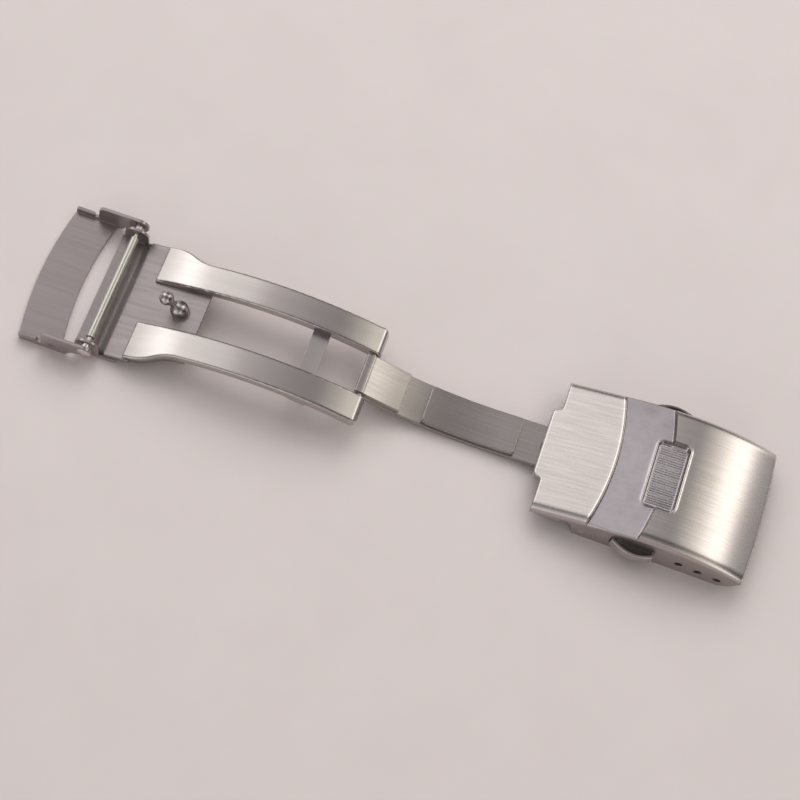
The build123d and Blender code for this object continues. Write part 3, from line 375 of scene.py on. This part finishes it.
# %% The mesh of a grid
def grid_mesh(name, points, materials, which=None):
    """A mesh from points[i, j], with four-sided faces whose outer side is du x dv.
    which gives each face's material place."""
    rows, columns = points.shape[:2]
    place = np.arange(rows * columns).reshape(rows, columns)
    faces = np.stack([place[:-1, :-1], place[1:, :-1], place[1:, 1:], place[:-1, 1:]], -1).reshape(-1, 4)
    mesh = bpy.data.meshes.new(name)
    mesh.vertices.add(rows * columns)
    mesh.vertices.foreach_set("co", (points.reshape(-1, 3) * MM).astype(np.float32).ravel())
    mesh.loops.add(faces.size)
    mesh.loops.foreach_set("vertex_index", faces.ravel().astype(np.int32))
    mesh.polygons.add(len(faces))
    mesh.polygons.foreach_set("loop_start", np.arange(0, faces.size, 4, dtype=np.int32))
    mesh.update(calc_edges=True)
    for material in materials:
        mesh.materials.append(material)
    if which is not None:
        mesh.polygons.foreach_set("material_index", which.ravel().astype(np.int32))
    mesh.polygons.foreach_set("use_smooth", np.ones(len(faces), bool))
    mesh.validate()
    piece = bpy.data.objects.new(name, mesh)
    bpy.context.scene.collection.objects.link(piece)
    print(f"{name}: {len(faces)} faces")
    return piece


def give_thickness(piece, sheet_mm):
    """Closes a skin: Solidify grows it inwards by sheet_mm and joins its borders."""
    sheet = piece.modifiers.new("sheet", "SOLIDIFY")
    sheet.thickness, sheet.offset = sheet_mm * MM, -1


# %% [markdown]
# The grid starts as straight rows and columns over the cover. Then the rows are pulled along the
# clasp: at the ends they follow the tongue and the bowed right edge, and near the two pressed lines
# they bow as the lines do. So no row crosses a line at a slant, which would give it small teeth.

# %% The grid of the cover's top
busy_y, dense_y, columns = [(-4.6, 4.6), (-10.1, -9.2), (9.2, 10.1)], 5, 224
busy_x, dense_x, rows = [(35.8, 36.9), (40.7, 41.7), (42.6, 43.5), (44.8, 45.9)], 8, 186
left_fade_x, right_fade_x = 31, 48
first_window, second_window = (31, 3.5, 40, 3), (39.5, 2.8, 48, 3.5)
tuck_depth = 0.08


def window(x, start, rise, end, fall):
    """0 up to start, 1 once it has risen, and back to 0 at end: two smooth steps multiplied."""
    return smooth_step((x - start) / rise) * smooth_step((end - x) / fall)


across_y = crowded(-half_width, half_width, columns, busy_y, dense_y)
share = (crowded(tongue_x, right_x, rows, busy_x, dense_x) - tongue_x) / (right_x - tongue_x)
notch = np.clip((np.abs(across_y) - tongue_half) / tongue_flare, 0, 1)
left_edge = tongue_x + (left_x - tongue_x) * notch
right_edge = right_x - right_bow * (across_y / half_width) ** 2
even_x = tongue_x + share * (right_x - tongue_x)
bow = -line_bow * (across_y / half_width) ** 2
bow_past_pad = np.minimum(bow + line_bow * (pad_half / half_width) ** 2, 0)
pulls = [(left_edge - tongue_x, np.clip((left_fade_x - even_x) / (left_fade_x - tongue_x), 0, 1)),
         (bow, window(even_x, *first_window)),
         (bow_past_pad, window(even_x, *second_window)),
         (right_edge - right_x, np.clip((even_x - right_fade_x) / (right_x - right_fade_x), 0, 1))]
grid_x = even_x[:, None] + sum(strength[:, None] * shift[None, :] for shift, strength in pulls)
grid_y = np.broadcast_to(across_y, grid_x.shape)
cover_points = np.stack([grid_x + frame_shift, grid_y, top_height(grid_x, grid_y) + hair], -1)
tuck = cover_points[[0, -1]] - (0, 0, tuck_depth)
cover_points = np.concatenate([tuck[:1], cover_points, tuck[1:]])
print("smallest step of the grid along the clasp", np.round(np.diff(grid_x, axis=0).min(), 4), "mm")

# %% [markdown]
# One mesh carries five finishes, by the place of each face: the brushed main face, the pressed band,
# the pad, pale with a painted highlight, a dark colour as painted shade in the creases where the
# sheet steps down, and darker steel as painted shade at the long rims and between the ribs. The skin
# gets a wall of its own, so that it is a closed shell.

# %% The cover's top
satin_place, pressed_place, pad_place, crease_shade_place, painted_shade_place = range(5)
first_crease_shade, second_crease_shade, pad_crease_shade = (0.02, 0.24), (-0.04, 0.22), (0.02, 0.2)
gap_swing = 0.7
rim_share = 0.22
cover_skin_mm = 0.06


def inside(value, span):
    """Whether a value lies between the two ends of a span."""
    return (value > span[0]) & (value < span[1])


face_x = (grid_x[1:, 1:] + grid_x[:-1, :-1]) / 2
face_y = (grid_y[1:, 1:] + grid_y[:-1, :-1]) / 2
past_first = face_x - line_at(first_line_x, face_y)
before_second = line_at(second_line_x, face_y) - face_x
depth = pad_depth(face_x, face_y)
which = np.full(face_x.shape, satin_place)
which[(past_first > bend / 2) & (before_second > bend / 2)] = pressed_place
# The pad gets the pale colour, a painted highlight.
which[depth > bend] = pad_place
# Painted shade: the gaps between the ribs get the darker steel.
which[(rib_swing(face_y) > gap_swing) & (depth > rib_margin)] = painted_shade_place
# Painted shade along the two pressed lines and round the pad: the dark crease colour.
on_lines = inside(past_first, first_crease_shade) | inside(before_second, second_crease_shade)
which[(on_lines & (depth < 0)) | inside(depth, pad_crease_shade)] = crease_shade_place
# Painted shade: the long rims of the cover get the darker steel.
which[(np.abs(face_y) > half_width - rim_share * rim_round) & (which == satin_place)] = painted_shade_place
which = np.concatenate([which[:1], which, which[-1:]])
cover_top = grid_mesh("cover_top", cover_points, [satin, pressed, pale, crease_painted_shade, dull_and_painted_shade], which)
give_thickness(cover_top, cover_skin_mm)
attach(cover_top, "cover")

# %% [markdown]
# ## The bend between bracket and plate
# On the real clasp the sheet rolls up from the bracket's floor to the plate beside the spring bar,
# and this roll shows as a soft dark stripe, which the roll's dark colour paints as shade. It is one
# profile, an S made of a smooth step, carried straight across between the two ears.

# %% The rolled bend
plate_left_x, plate_left_z, floor_z = -35.1, 1.31, 0.48
ear_inner, ear_clearance = 9.0, 0.02
roll_run, roll_lap = 1.15, 0.03
floor_tuck, plate_tuck = 0.1, 0.12
roll_skin_mm = 0.05
roll_rows, roll_columns = 28, 40

along_roll = np.linspace(0, 1, roll_rows)
roll_x = plate_left_x - roll_run * (1 - along_roll)
roll_z = floor_z + (plate_left_z - floor_z) * smooth_step(along_roll) + hair
roll_x = np.concatenate([roll_x[:1], roll_x, roll_x[-1:] + roll_lap, roll_x[-1:] + roll_lap])
roll_z = np.concatenate([[floor_z - floor_tuck], roll_z, roll_z[-1:], roll_z[-1:] - plate_tuck])
roll_y = np.linspace(-ear_inner + ear_clearance, ear_inner - ear_clearance, roll_columns)
roll_shape = (len(roll_x), len(roll_y))
roll_parts = ((roll_x + frame_shift)[:, None], roll_y, roll_z[:, None])
roll_points = np.stack([np.broadcast_to(part, roll_shape) for part in roll_parts], -1)
bracket_roll = grid_mesh("bracket_roll", roll_points, [rolled])
give_thickness(bracket_roll, roll_skin_mm)
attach(bracket_roll, "base")

# %% [markdown]
# ## Table, lamps and sky
# The clasp lies on a plain pale table under soft daylight. A broad lamp beyond it gives the soft
# shadow on the near side, and a second one above fills it. The steel mirrors neither: what it
# shows is the sky, whose brightness changes with direction, along the clasp and across it.

# %% The table
table_mesh = bpy.data.meshes.new("table_top")
table_half = 1.2
corners = [(-table_half, -table_half, 0), (table_half, -table_half, 0),
           (table_half, table_half, 0), (-table_half, table_half, 0)]
table_mesh.from_pydata(corners, [], [(0, 1, 2, 3)])
table = bpy.data.objects.new("table_top", table_mesh)
bpy.context.scene.collection.objects.link(table)
card_dark, card_light = (0.755, 0.690, 0.680), (0.780, 0.715, 0.705)
card_spots_mm, card_detail, card_seed_mm = (14, 14, 14), 3, 2.2
card_roughness, card_specular = 0.8, 0.2
card = bpy.data.materials.new("pale_card")
card.use_nodes = True
card_shader = card.node_tree.nodes["Principled BSDF"]
card_shader.inputs["Roughness"].default_value = card_roughness
card_shader.inputs["Specular IOR Level"].default_value = card_specular
card_shade = add_node(card.node_tree, "ShaderNodeMix", data_type="RGBA")
card_shade.inputs["A"].default_value = (*card_dark, 1)
card_shade.inputs["B"].default_value = (*card_light, 1)
mottle = stretched_noise(card.node_tree, card_spots_mm, card_detail, card_seed_mm)
card.node_tree.links.new(spread(card.node_tree, mottle, 0, 1), card_shade.inputs["Factor"])
card.node_tree.links.new(card_shade.outputs["Result"], card_shader.inputs["Base Color"])
table_mesh.materials.append(card)


# %% The lamps and the sky
def soft_lamp(name, place, aim, width, watts, colour):
    """A round lamp at place that faces aim, all in metres."""
    data = bpy.data.lights.new(name, "AREA")
    data.shape, data.size, data.energy, data.color = "DISK", width, watts, colour
    lamp = bpy.data.objects.new(name, data)
    away = np.array(place) - np.array(aim)
    z_axis = away / np.linalg.norm(away)
    x_axis = np.cross((0, 1, 0.1), z_axis)
    x_axis /= np.linalg.norm(x_axis)
    pose = np.eye(4)
    pose[:3, :] = np.stack([x_axis, np.cross(z_axis, x_axis), z_axis, place], axis=1)
    lamp.matrix_world = Matrix(pose.tolist())
    bpy.context.scene.collection.objects.link(lamp)
    return lamp


daylight = (1, 0.985, 0.975)
window_lamp = soft_lamp("window_lamp", place=(-0.04, 0.46, 0.42), aim=(0, 0, 0),
                        width=0.46, watts=1.55, colour=daylight)
ceiling_lamp = soft_lamp("ceiling_lamp", place=(0, 0.02, 0.9), aim=(0, 0, 0),
                         width=1.1, watts=1.65, colour=daylight)
window_lamp.visible_glossy = ceiling_lamp.visible_glossy = False

sky = bpy.data.worlds.new("soft_room")
bpy.context.scene.world = sky
sky.use_nodes = True
sky_tree = sky.node_tree
background = sky_tree.nodes["Background"]
heading = add_node(sky_tree, "ShaderNodeTexCoord")
parts = add_node(sky_tree, "ShaderNodeSeparateXYZ")
sky_tree.links.new(heading.outputs["Generated"], parts.inputs["Vector"])


def sky_ramp(axis, stops):
    """A colour that follows one part of the sky's direction, through (place, level, colour) stops."""
    share = add_node(sky_tree, "ShaderNodeMapRange", {"From Min": -1, "From Max": 1})
    ramp = add_node(sky_tree, "ShaderNodeValToRGB")
    ramp.color_ramp.interpolation = "EASE"
    while len(ramp.color_ramp.elements) < len(stops):
        ramp.color_ramp.elements.new(1)
    for element, (place, level, colour) in zip(ramp.color_ramp.elements, stops):
        element.position = (place + 1) / 2
        element.color = (*[level * c for c in colour], 1)
    sky_tree.links.new(parts.outputs[axis], share.inputs["Value"])
    sky_tree.links.new(share.outputs["Result"], ramp.inputs["Fac"])
    return ramp.outputs["Color"]


rose, cream, plain, grey = (1, 0.95, 0.955), (1, 0.965, 0.885), (1, 0.975, 0.965), (1, 1, 1)
lengthwise = sky_ramp("X", [
    (-1.0, 0.30, rose), (-0.84, 0.22, rose), (-0.74, 0.68, plain), (-0.65, 1.18, plain),
    (-0.55, 0.66, plain), (-0.33, 0.58, plain), (-0.22, 0.38, rose), (-0.08, 0.30, rose),
    (0.08, 0.23, rose), (0.22, 0.19, rose), (0.32, 0.36, cream), (0.42, 0.56, cream),
    (0.53, 1.0, cream), (0.62, 1.1, cream), (0.72, 0.22, rose), (1.0, 0.08, rose)])
crosswise = sky_ramp("Y", [
    (-1.0, 0.95, grey), (-0.75, 0.6, grey), (-0.45, 0.2, grey), (0.06, 0.09, grey),
    (0.28, 1, grey), (0.56, 1, grey), (0.76, 0.3, grey), (0.95, 0.12, grey)])
sky_strength = 2.1
product = add_node(sky_tree, "ShaderNodeMix", {"Factor": 1}, data_type="RGBA", blend_type="MULTIPLY")
sky_tree.links.new(lengthwise, product.inputs["A"])
sky_tree.links.new(crosswise, product.inputs["B"])
sky_tree.links.new(product.outputs["Result"], background.inputs["Color"])
background.inputs["Strength"].default_value = sky_strength
bpy.context.scene.view_settings.view_transform = "Standard"
print("lit by", window_lamp.name, "and", ceiling_lamp.name, "under", sky.name)
